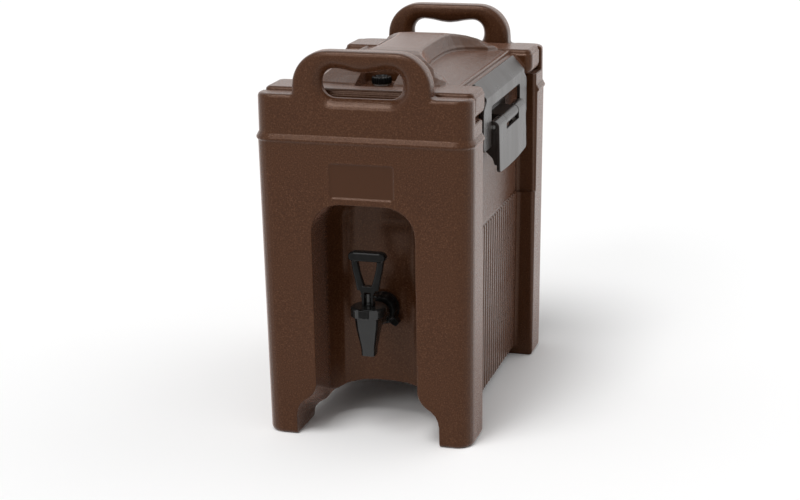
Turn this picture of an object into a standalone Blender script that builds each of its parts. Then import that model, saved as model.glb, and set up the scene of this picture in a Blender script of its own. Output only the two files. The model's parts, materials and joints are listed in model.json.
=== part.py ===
"""Insulated beverage dispenser: body, lift-off lid, two draw latches and a spigot.

All sizes below are millimetres; meshes are written in metres with +Z up.
The front faces -Y, the floor is z = 0 and the middle of the body is the origin.
"""
import math

import bmesh
import bpy

MM = 0.001

# Body moulding
body_width = 260.0          # across the front block just under the bead
body_depth = 420.0          # front face to rear face just under the bead
draft_side = 3.2            # each side, floor to bead
draft_end = 4.4             # front and rear, floor to bead
corner_radius = 20.0
rim_height = 386.0          # sealing rim that the lid sits over
bead_below_rim = 20.0       # middle of the bead, under the rim
bead_proud = 2.0
upper_inset = 1.4           # upper wall stands back from the wall under the bead
wall_rise = 31.0            # front and rear walls, above the rim
end_wall = 27.0             # thickness of the front and rear walls above the rim
block_depth = 68.0          # front and rear blocks, measured along Y
side_recess = 25.0          # side panels stand in from the blocks
pocket_extra = 2.0          # latch pocket is cut a little deeper than the ribbed panel
pocket_wider = 5.0          # and a little longer
rib_top = 229.0
rib_pitch = 12.0
rib_deep = 1.5
skirt_clear = 11.6          # side panels end this far above the floor
insulated_wall = 34.0
tunnel_height = 48.0        # underside between the legs
leg_inner = 88.6            # half distance between the legs

# Spigot niche, label recess
niche_half = 62.7
niche_depth = 85.0
niche_below_rim = 96.0
niche_arch_radius = 36.0
niche_back_radius = 35.0
label_half = 38.9
label_height = 42.0
label_above_niche = 7.4
label_deep = 1.3
label_rim = 2.4             # raised border round the recess
label_rim_proud = 0.6

# Handles
handle_half = 82.7
handle_rise = 51.5          # above the wall top
handle_radius = 42.0
handle_thick = 26.0
slot_half = 48.0
slot_flare = 14.0
slot_below_top = 21.0

# Lid
lid_gap = 0.5
seal_height = 3.5           # lid flange stands over the rim by this much
bar_height = 31.0           # end bars, above the lid underside
bar_overlap = 16.5          # end bars run this far past the block, towards the middle
shelf_height = 28.0
plateau_rise = 31.5         # above the shelf
plateau_setback = 55.0      # raised panel ends this far from the front and rear faces
plateau_bow = 14.0          # its ends curve back this much at the corners
shelf_crown = 11.0          # shelf climbs this much towards the raised panel
shelf_crown_half = 32.0
plug_drop = 12.0            # plug reaches this far under the rim
lid_side_in = 13.0          # lid edge at the latches, in from the block side
lip_slope = 48.0            # degrees, latch lip against the lid edge
lip_reach = 12.5
bar_round = 8.0             # rounding under the end bars

# Latches
latch_clear = 7.5           # bail legs end this far short of the lid's end bars
lip_setback = 14.0          # hooked lip is shorter than the legs are apart, at each end
bail_leg = 39.5
leg_clear = 4.0             # between a bail leg and the paddle
knuckle_half = 33.0
knuckle_radius = 7.5
knuckle_gap = 1.0           # each side of the bracket knuckle
pivot_pin_radius = 2.8
pivot_out = 20.5            # lever pivot, out from the pocket wall
pivot_drop = 29.0           # lever pivot, under the lid underside
link_in = 6.5               # bail pins sit inboard of the lever pivot
link_drop = 18.5            # and under it
boss_radius = 5.6
window_rise = 26.0          # top of the bail window, above the lever pivot
sheet = 4.0
paddle_long = 54.5
paddle_sag = 3.0            # bottom edge of the paddle bows down in the middle
paddle_lean = 1.0           # foot of the paddle stands out from its top

# Spigot
spout_setback = 20.0        # spout axis behind the front face
shank_height = 144.0
shank_radius = 11.0
shank_bore = 6.5
spout_below = 40.0          # spout tip under the shank
spout_above = 8.5           # spout top over the shank
spout_tip_radius = 10.0
spout_top_radius = 17.6
bonnet_radius = 21.5
bonnet_height = 12.3
tongue_half = 6.2            # stop tongue on the front of the bonnet
stem_radius = 3.6
handle_pin_rise = 10.9      # handle pin above the bonnet
pull_height = 49.0          # grip bar above the handle pin
nut_radius = 20.5
nut_long = 15.0

# Vent
vent_radius = 12.0
vent_from_front = 89.0
vent_cap_height = 10.5
vent_stem_radius = 5.0

# Clearances
gap = 0.3
run = 0.4

half_w = body_width / 2.0
half_d = body_depth / 2.0
bead_height = rim_height - bead_below_rim
wall_top = rim_height + wall_rise
niche_top = rim_height - niche_below_rim
panel_x = half_w - side_recess
pocket_x = panel_x - pocket_extra
recess_y = half_d - block_depth
niche_back_y = -half_d + niche_depth
tank_front_y = niche_back_y + insulated_wall
tank_rear_y = half_d - insulated_wall
tank_half = panel_x - insulated_wall
tank_floor = tunnel_height + insulated_wall + 2.0
seat_y = half_d - end_wall
lid_under = rim_height + seal_height
bar_in = recess_y - bar_overlap
latch_half = bar_in - latch_clear
leg_in = latch_half - bail_leg
paddle_half = leg_in - leg_clear
spout_y = -half_d + spout_setback
spout_tip = shank_height - spout_below
spout_top = shank_height + spout_above


def clear_scene():
    for thing in list(bpy.data.objects):
        bpy.data.objects.remove(thing, do_unlink=True)


def material(name, rgb, rough, metal=0.0):
    mat = bpy.data.materials.new(name)
    mat.use_nodes = True
    shader = mat.node_tree.nodes["Principled BSDF"]
    shader.inputs["Base Color"].default_value = (rgb[0], rgb[1], rgb[2], 1.0)
    shader.inputs["Roughness"].default_value = rough
    shader.inputs["Metallic"].default_value = metal
    return mat


FINISH = {
    "brown": ((0.075, 0.035, 0.022), 0.5, 0.0),
    "nylon": ((0.03, 0.03, 0.03), 0.45, 0.0),
    "gloss": ((0.012, 0.012, 0.012), 0.2, 0.0),
    "rubber": ((0.55, 0.54, 0.5), 0.7, 0.0),
    "steel": ((0.6, 0.6, 0.6), 0.3, 1.0),
}


def mesh_object(name, verts, faces, finish=None, origin=(0.0, 0.0, 0.0), split=False):
    mesh = bpy.data.meshes.new(name)
    bm = bmesh.new()
    placed = []
    for x, y, z in verts:
        spot = ((x - origin[0]) * MM, (y - origin[1]) * MM, (z - origin[2]) * MM)
        placed.append(bm.verts.new(spot))
    for face in faces:
        bm.faces.new([placed[i] for i in face])
    if split:
        bmesh.ops.triangulate(bm, faces=bm.faces[:])
    bmesh.ops.recalc_face_normals(bm, faces=bm.faces)
    bm.to_mesh(mesh)
    bm.free()
    obj = bpy.data.objects.new(name, mesh)
    obj.location = (origin[0] * MM, origin[1] * MM, origin[2] * MM)
    bpy.context.scene.collection.objects.link(obj)
    if finish:
        rgb, rough, metal = FINISH[finish]
        mesh.materials.append(material(name + "_material", rgb, rough, metal))
    return obj


def loft(name, rings, finish=None, origin=(0.0, 0.0, 0.0), closed=False, split=False):
    """Skin through rings of equal length; ends are capped unless the rings close on themselves."""
    count = len(rings[0])
    verts = [p for ring in rings for p in ring]
    faces = []
    spans = len(rings) if closed else len(rings) - 1
    for i in range(spans):
        a = i * count
        b = ((i + 1) % len(rings)) * count
        for j in range(count):
            k = (j + 1) % count
            faces.append((a + j, a + k, b + k, b + j))
    if not closed:
        faces.append(tuple(range(count)))
        last = (len(rings) - 1) * count
        faces.append(tuple(range(last, last + count)))
    return mesh_object(name, verts, faces, finish, origin, split)


def along(axis, u, v, t):
    if axis == "z":
        return (u, v, t)
    if axis == "y":
        return (u, t, v)
    return (t, u, v)


def prism(name, outline, axis, lo, hi, finish=None, origin=(0.0, 0.0, 0.0)):
    rings = [[along(axis, u, v, t) for u, v in outline] for t in (lo, hi)]
    return loft(name, rings, finish, origin)


def circle(cu, cv, radius, steps=20, turn=0.0):
    points = []
    for i in range(steps):
        a = turn + 2.0 * math.pi * i / steps
        points.append((cu + radius * math.cos(a), cv + radius * math.sin(a)))
    return points


def turned(name, profile, axis, cu, cv, steps=20, finish=None, origin=(0.0, 0.0, 0.0), closed=False):
    """Stack of circles; profile holds (radius, position along the axis)."""
    rings = []
    for radius, t in profile:
        rings.append([along(axis, u, v, t) for u, v in circle(cu, cv, radius, steps)])
    return loft(name, rings, finish, origin, closed)


def rounded(half_u, half_v, radius, steps=6, cu=0.0, cv=0.0):
    points = []
    for su, sv, start in ((1, 1, 0.0), (-1, 1, 90.0), (-1, -1, 180.0), (1, -1, 270.0)):
        for i in range(steps + 1):
            a = math.radians(start + 90.0 * i / steps)
            points.append((cu + su * (half_u - radius) + radius * math.cos(a),
                           cv + sv * (half_v - radius) + radius * math.sin(a)))
    return points


def box(name, lo, hi, finish=None):
    outline = [(lo[0], lo[1]), (hi[0], lo[1]), (hi[0], hi[1]), (lo[0], hi[1])]
    return prism(name, outline, "z", lo[2], hi[2], finish)


def combine(target, tool, operation):
    mod = target.modifiers.new(tool.name, "BOOLEAN")
    mod.operation = operation
    mod.solver = "EXACT"
    mod.object = tool
    tool.hide_render = True
    tool.display_type = "WIRE"


def cut(target, tool):
    combine(target, tool, "DIFFERENCE")


def join(target, tool):
    combine(target, tool, "UNION")


def flat(points, z):
    return [(x, y, z) for x, y in points]


def side_in(z):
    """How far the drafted wall under the bead stands in from its widest size."""
    return max(0.0, 1.0 - z / bead_height)


def body_ring(z, inset):
    hx = half_w - draft_side * side_in(z) - inset
    hy = half_d - draft_end * side_in(z) - inset
    return flat(rounded(hx, hy, corner_radius - min(inset, 6.0)), z)


def recess_outline(side, reach, long_half, edge):
    """Plan of the side recess, from the far mouth round the panel and back."""
    out = half_w + 12.0
    fillet = 5.0
    points = [(out, -long_half - edge), (half_w - edge * 0.05, -long_half - edge)]
    for i in range(1, 4):
        a = math.radians(90.0 * i / 3)
        points.append((half_w - edge * math.sin(a) - 0.3, -long_half - edge * math.cos(a)))
    for i in range(4):
        a = math.radians(90.0 * i / 3)
        points.append((reach + fillet - fillet * math.sin(a), -long_half + fillet - fillet * math.cos(a)))
    points += [(x, -y) for x, y in reversed(points)]
    return [(side * x, y) for x, y in points]


def ribbed_outline(side, reach, long_half, edge):
    """The same plan with the upright grooves of the ribbed panel."""
    plain = recess_outline(1, reach, long_half, edge)
    half = len(plain) // 2
    grooves = []
    count = int((2.0 * long_half - 16.0) // rib_pitch)
    start = -rib_pitch * (count - 1) / 2.0
    for i in range(count):
        y = start + i * rib_pitch
        deep = reach - rib_deep
        grooves += [(reach, y - 2.4), (deep, y - 1.1), (deep, y + 1.1), (reach, y + 2.4)]
    points = plain[:half] + grooves + plain[half:]
    return [(side * x, y) for x, y in points]


def handle_outline(inset):
    hu = handle_half - inset
    top = wall_top + handle_rise - inset
    r = handle_radius - inset
    low = wall_top - 12.0
    points = [(hu, low)]
    for i in range(9):
        a = math.radians(90.0 * i / 8)
        points.append((hu - r + r * math.cos(a), top - r + r * math.sin(a)))
    for i in range(9):
        a = math.radians(90.0 + 90.0 * i / 8)
        points.append((-hu + r + r * math.cos(a), top - r + r * math.sin(a)))
    points.append((-hu, low))
    return points


def slot_outline(grow, belly):
    """Hand slot in elevation; the grip side sags in the middle."""
    hu = slot_half + grow
    top = wall_top + handle_rise - slot_below_top + grow * 0.86
    low = wall_top - 3.0 - grow
    r = 15.0 + grow * 0.6
    points = []
    for su, cv, start in ((1, low + r, 270.0), (1, top - r, 0.0)):
        for i in range(6):
            a = math.radians(start + 90.0 * i / 5)
            points.append((su * (hu - r) + r * math.cos(a), cv + r * math.sin(a)))
    for i in range(1, 6):
        u = (hu - r) * (1.0 - i / 3.0)
        points.append((u, top - belly * math.cos(0.5 * math.pi * u / (hu - r)) ** 2))
    for su, cv, start in ((-1, top - r, 90.0), (-1, low + r, 180.0)):
        for i in range(6):
            a = math.radians(start + 90.0 * i / 5)
            points.append((su * (hu - r) + r * math.cos(a), cv + r * math.sin(a)))
    return points


def add_handle(body, end, name):
    mid = end * (half_d - upper_inset - handle_thick / 2.0)
    half = handle_thick / 2.0
    rings = []
    for t, inset in ((-1.0, 5.0), (-0.88, 1.5), (-0.65, 0.0), (0.65, 0.0), (0.88, 1.5), (1.0, 5.0)):
        rings.append([(u, mid + t * half, v) for u, v in handle_outline(inset)])
    join(body, loft("add_" + name, rings))
    rings = []
    for i in range(7):
        t = -1.0 + i / 3.0
        grow = slot_flare * (1.0 - math.sqrt(max(0.0, 1.0 - t * t)))
        rings.append([(u, mid + t * (half + 1.5), v) for u, v in slot_outline(grow, 5.0 * (1.0 - t * t))])
    return loft("cut_" + name + "_slot", rings)


def arch_ring(y, rows):
    """Section of the space between the legs; rows are shares of its half width and height."""
    half = [(leg_inner, -3.0)] + [(u * leg_inner, v * tunnel_height) for u, v in rows]
    return [(x, y, z) for x, z in half] + [(-x, y, z) for x, z in reversed(half)]


def arch_rings():
    """S curve at each face of the legs, running into one lower arch under the body."""
    in_step = 1.0 - niche_half / leg_inner
    lower = [(0.0, 0.50), (0.05, 0.67), (0.18, 0.82), (0.40, 0.93), (0.60, 1.0)]
    lower = [(1.0 - u * in_step, v) for u, v in lower]
    front = [(0.80, 1.10), (0.93, 1.22), (1.0, 1.36)]
    front = lower + [(1.0 - u * in_step, v) for u, v in front] + [(0.55, 1.38), (0.30, 1.39), (0.09, 1.40)]
    rear = [(0.80, 1.04), (0.93, 1.07), (1.0, 1.09)]
    rear = lower + [(1.0 - u * in_step, v) for u, v in rear] + [(0.55, 1.15), (0.30, 1.18), (0.09, 1.19)]
    middle = [(0.976, 0.25), (0.948, 0.33), (0.892, 0.40), (0.824, 0.48), (0.79, 0.56), (0.774, 0.625),
              (0.763, 0.667), (0.756, 0.70), (0.55, 0.875), (0.30, 0.97), (0.09, 1.0)]
    inner = recess_y - 2.0
    return [arch_ring(-half_d - 5.0, front), arch_ring(-half_d + 3.0, front), arch_ring(-inner, middle),
            arch_ring(inner, middle), arch_ring(half_d - 3.0, rear), arch_ring(half_d + 5.0, rear)]


def niche_ring(z, half, deep):
    r = min(niche_back_radius, half - 2.0)
    back = -half_d + deep
    points = [(half, -half_d - 10.0)]
    for i in range(8):
        a = math.radians(90.0 * i / 7)
        points.append((half - r + r * math.cos(a), back - r + r * math.sin(a)))
    points += [(-x, y) for x, y in reversed(points)]
    return flat(points, z)


def label_ring(low, grow, deep):
    """Outline of the label recess, laid on the drafted front face."""
    mid = low + label_height / 2.0
    points = rounded(label_half + grow, label_height / 2.0 + grow, 4.0 + grow, 4, 0.0, mid)
    return [(x, -half_d + draft_end * side_in(z) + deep, z) for x, z in points]


def build_body():
    rings = [body_ring(0.0, 4.0), body_ring(1.2, 1.2), body_ring(4.0, 0.0)]
    bead = bead_height - 4.0
    rings += [body_ring(bead, 0.0), body_ring(bead + 1.2, -bead_proud), body_ring(bead + 3.4, -bead_proud)]
    rings += [body_ring(bead + 6.4, 0.0), body_ring(bead + 7.2, -0.5), body_ring(bead + 8.0, upper_inset)]
    rings += [body_ring(wall_top - 4.0, upper_inset)]
    rings += [body_ring(wall_top - 1.2, upper_inset + 1.2), body_ring(wall_top, upper_inset + 4.0)]
    body = loft("body", rings, "brown")

    slots = [add_handle(body, -1, "front_handle"), add_handle(body, 1, "rear_handle")]
    for slot in slots:
        cut(body, slot)

    seat = [(u, v) for u, v in rounded(half_w + 20.0, seat_y, 6.0)]
    cut(body, prism("cut_lid_seat", seat, "z", rim_height, wall_top + 3.0))

    for side, label in ((-1, "left"), (1, "right")):
        low = ribbed_outline(side, panel_x - draft_side, recess_y, 4.0)
        high = ribbed_outline(side, panel_x, recess_y, 4.0)
        cut(body, loft("cut_panel_" + label, [flat(low, -2.0), flat(high, rib_top)]))
        upper = recess_outline(side, pocket_x, recess_y + pocket_wider, 4.0)
        cut(body, prism("cut_pocket_" + label, upper, "z", rib_top - 0.5, wall_top + 4.0))

    cut(body, loft("cut_tunnel", arch_rings(), split=True))
    cut(body, box("cut_skirt", (-half_w - 5.0, -recess_y, -4.0), (half_w + 5.0, recess_y, skirt_clear)))

    levels = [(0.55 * tunnel_height, niche_half, niche_depth)]
    spring = niche_top - niche_arch_radius
    for i in range(8):
        a = math.radians(90.0 * i / 7)
        fall = 1.0 - math.cos(a)
        levels.append((spring + niche_arch_radius * math.sin(a), niche_half - niche_arch_radius * fall,
                       niche_depth - 24.0 * fall))
    cut(body, loft("cut_niche", [niche_ring(z, x, deep) for z, x, deep in levels]))

    low = niche_top + label_above_niche
    border = [(label_rim, 4.0), (label_rim, 0.0), (0.6, -label_rim_proud)]
    join(body, loft("add_label_rim", [label_ring(low, grow, deep) for grow, deep in border]))
    recess = [(0.4, -6.0), (0.4, -label_rim_proud), (-0.9, label_deep)]
    cut(body, loft("cut_label_recess", [label_ring(low, grow, deep) for grow, deep in recess]))

    taper = 3.0
    mid_y = (tank_front_y + tank_rear_y) / 2.0
    long_half = (tank_rear_y - tank_front_y) / 2.0
    rings = []
    tank_levels = ((tank_floor, 16.0), (tank_floor + 4.0, 8.0), (tank_floor + 16.0, taper),
                   (rim_height + 2.0, 0.0))
    for z, inset in tank_levels:
        plan = rounded(tank_half - inset, long_half - inset, 28.0 - min(inset, 12.0), 4, 0.0, mid_y)
        rings.append(flat(plan, z))
    cut(body, loft("cut_tank", rings))
    front = -half_d + end_wall + 18.0
    neck_mid = (front + tank_rear_y) / 2.0
    neck_half = (tank_rear_y - front) / 2.0
    roof = niche_top + insulated_wall
    neck = []
    neck_levels = ((roof, tank_front_y - front + 8.0), (roof + 22.0, 6.0), (roof + 30.0, 0.0),
                   (rim_height + 3.0, 0.0))
    for z, setback in neck_levels:
        plan = rounded(tank_half - 1.0, neck_half - setback / 2.0, 26.0, 4, 0.0, neck_mid + setback / 2.0)
        neck.append(flat(plan, z))
    cut(body, loft("cut_neck", neck))

    hole = circle(0.0, shank_height, shank_radius + gap)
    cut(body, prism("cut_shank_hole", hole, "y", niche_back_y - 30.0, tank_front_y + 30.0))
    spot = circle(0.0, shank_height, 20.0, 20)
    cut(body, prism("cut_spot_face", spot, "y", tank_front_y, tank_front_y + 12.0))
    for side, label in ((-1, "left"), (1, "right")):
        for end in (-1, 1):
            bore = circle(end * screw_y(), screw_z(), 2.4 + gap, 12)
            name = "cut_screw_%s_%d" % (label, end)
            cut(body, prism(name, bore, "x", side * (pocket_x - 16.0), side * (pocket_x + 8.0)))
    return front


def plateau_sections():
    """Stations from the middle of the raised panel to its end: y share, widths and heights."""
    return [(0.0, 36.0, 35.0, 0.50, 33.5, 30.0, 0.95, 1.0),
            (0.20, 36.5, 35.5, 0.50, 34.0, 30.5, 0.95, 1.0),
            (0.33, 39.0, 38.0, 0.49, 36.0, 31.5, 0.94, 1.0),
            (0.44, 43.5, 42.5, 0.465, 40.0, 34.5, 0.905, 0.985),
            (0.54, 50.5, 49.3, 0.42, 47.0, 41.5, 0.80, 0.925),
            (0.64, 61.5, 60.0, 0.35, 57.5, 52.0, 0.63, 0.81),
            (0.73, 75.0, 73.0, 0.27, 70.0, 63.5, 0.44, 0.64),
            (0.87, 82.0, 80.0, 0.20, 77.0, 71.0, 0.29, 0.36),
            (1.0, 81.0, 79.0, 0.10, 76.0, 69.0, 0.12, 0.15)]


def build_lid(front):
    wide = half_w - lid_side_in
    tan = math.tan(math.radians(lip_slope))
    shelf = lid_under + shelf_height
    edge_top = lid_under + shelf_height - 3.0
    chamfer_low = edge_top - lip_reach * tan
    inner = wide - lip_reach
    half = [(wide, lid_under), (wide, chamfer_low), (inner, edge_top), (inner - 6.0, edge_top),
            (inner - 7.0, shelf + 1.2), (inner - 8.4, shelf + 2.0), (inner - 11.0, shelf + 1.4),
            (inner - 12.5, shelf), (shelf_crown_half, shelf + shelf_crown)]
    profile = half + [(-x, z) for x, z in reversed(half)]
    lid = prism("lid", profile, "y", -bar_in - 2.0, bar_in + 2.0, "brown", (0.0, 0.0, lid_under))

    bar_half = (seat_y - lid_gap - bar_in) / 2.0
    bar_x = half_w - 3.0
    bar_levels = [(0.0, bar_round * 0.9), (bar_round * 0.1, bar_round * 0.55), (bar_round * 0.4, bar_round * 0.2),
                  (bar_round, 0.0), (bar_height - 6.5, 0.0), (bar_height - 5.8, 1.6),
                  (bar_height - 2.2, 2.2), (bar_height, 5.0)]
    for end, label in ((-1, "front"), (1, "rear")):
        mid = end * (bar_in + bar_half)
        rings = []
        for rise, inset in bar_levels:
            plan = rounded(bar_x - inset, bar_half - inset, 9.0 - min(inset, 4.0), 5, 0.0, mid)
            rings.append(flat(plan, lid_under + rise))
        join(lid, loft("add_bar_" + label, rings))

    long_half = half_d - plateau_setback
    stations = plateau_sections()
    stations = [(-s[0],) + s[1:] for s in reversed(stations[1:])] + stations
    rings = []
    for share, base, low, low_rise, ledge, ridge, ridge_rise, top in stations:
        y = share * long_half
        step = shelf + low_rise * plateau_rise
        crest = shelf + ridge_rise * plateau_rise
        crown = shelf + top * plateau_rise
        brow = 0.2 * crest + 0.8 * crown
        half = [(base, shelf - 8.0), (base, shelf - 0.6), (low, step - 1.2), (low - 1.4, step), (ledge, step + 1.0),
                (ridge, crest), (ridge - 4.0, brow), (0.5 * ridge, crown)]
        bow = plateau_bow * share ** 3 * abs(share)
        half = [(x, y - bow * (x / base) ** 2, z) for x, z in half]
        rings.append(half + [(-x, v, z) for x, v, z in reversed(half)])
    join(lid, loft("add_plateau", rings, split=True))

    plug_half = tank_half - 4.5
    plug_front = front + 4.0
    plug_rear = tank_rear_y - 4.0
    plug = []
    plug_low = rim_height - plug_drop
    for z, inset in ((plug_low, 3.0), (plug_low + 3.0, 0.0), (lid_under + 2.0, 0.0)):
        plan = rounded(plug_half - inset, (plug_rear - plug_front) / 2.0 - inset, 24.0 - inset, 4,
                       0.0, (plug_front + plug_rear) / 2.0)
        plug.append(flat(plan, z))
    join(lid, loft("add_plug", plug))

    vent_y = -half_d + vent_from_front
    floor = shelf - 1.5
    reach = vent_radius + 10.0
    pocket = []
    for z, grow in ((floor, 0.0), (shelf + plateau_rise + 3.0, 3.0)):
        plan = [(reach + grow + 0.5, -half_d + plateau_setback - 2.5), (reach + grow, vent_y + 6.0)]
        for i in range(1, 7):
            a = math.radians(90.0 * i / 6)
            plan.append((8.0 + (reach + grow - 8.0) * math.cos(a), vent_y + 6.0 + (12.0 + grow) * math.sin(a)))
        plan += [(-x, y) for x, y in reversed(plan)]
        pocket.append(flat(plan, z))
    cut(lid, loft("cut_vent_pocket", pocket))
    bore = circle(0.0, vent_y, vent_stem_radius + gap)
    cut(lid, prism("cut_vent_bore", bore, "z", rim_height - plug_drop - 4.0, floor + 2.0))

    plug_mid = (plug_front + plug_rear) / 2.0
    plug_long = (plug_rear - plug_front) / 2.0
    outer = rounded(plug_half + 10.0, plug_long + 9.0, 33.0, 4, 0.0, plug_mid)
    inner_loop = rounded(plug_half + gap, plug_long + gap, 24.0 + gap, 4, 0.0, plug_mid)
    mid_loop = [((a[0] + b[0]) / 2.0, (a[1] + b[1]) / 2.0) for a, b in zip(outer, inner_loop)]
    z0 = rim_height + gap
    z1 = lid_under - gap
    bulge = [flat(outer, z0 + 0.7), flat(outer, z1 - 0.7), flat(mid_loop, z1),
             flat(inner_loop, z1 - 0.7), flat(inner_loop, z0 + 0.7), flat(mid_loop, z0)]
    loft("lid_gasket", bulge, "rubber", (0.0, 0.0, z0), True)

    cap_low = floor + 2.2
    cap_top = floor + vent_cap_height
    lobes = []
    for z, scale in ((cap_low, 1.0), (cap_top - 1.2, 1.0), (cap_top, 0.9)):
        ring = []
        for i in range(48):
            a = 2.0 * math.pi * i / 48
            r = vent_radius * scale - (0.8 if i % 4 in (2, 3) else 0.0)
            ring.append((r * math.cos(a), vent_y + r * math.sin(a), z))
        lobes.append(ring)
    cap = loft("vent_cap", lobes, "gloss", (0.0, vent_y, cap_low))
    stem = [(vent_stem_radius - 1.0, floor - 18.0), (vent_stem_radius, floor - 17.0),
            (vent_stem_radius, cap_low + 1.0)]
    join(cap, turned("add_vent_stem", stem, "z", 0.0, vent_y))
    dish = [(vent_radius - 4.5, cap_top - 1.4), (vent_radius - 3.2, cap_top + 1.0)]
    cut(cap, turned("cut_vent_dish", dish, "z", 0.0, vent_y))
    ring = [(vent_stem_radius + gap, floor + gap), (vent_radius - 2.0, floor + gap),
            (vent_radius - 2.0, cap_low - gap), (vent_stem_radius + gap, cap_low - gap)]
    turned("vent_seal", ring, "z", 0.0, vent_y, 24, "rubber", (0.0, vent_y, floor), True)
    return wide, edge_top


def screw_y():
    return knuckle_half + 18.0


def screw_z():
    return lid_under - pivot_drop - 12.0


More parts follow.
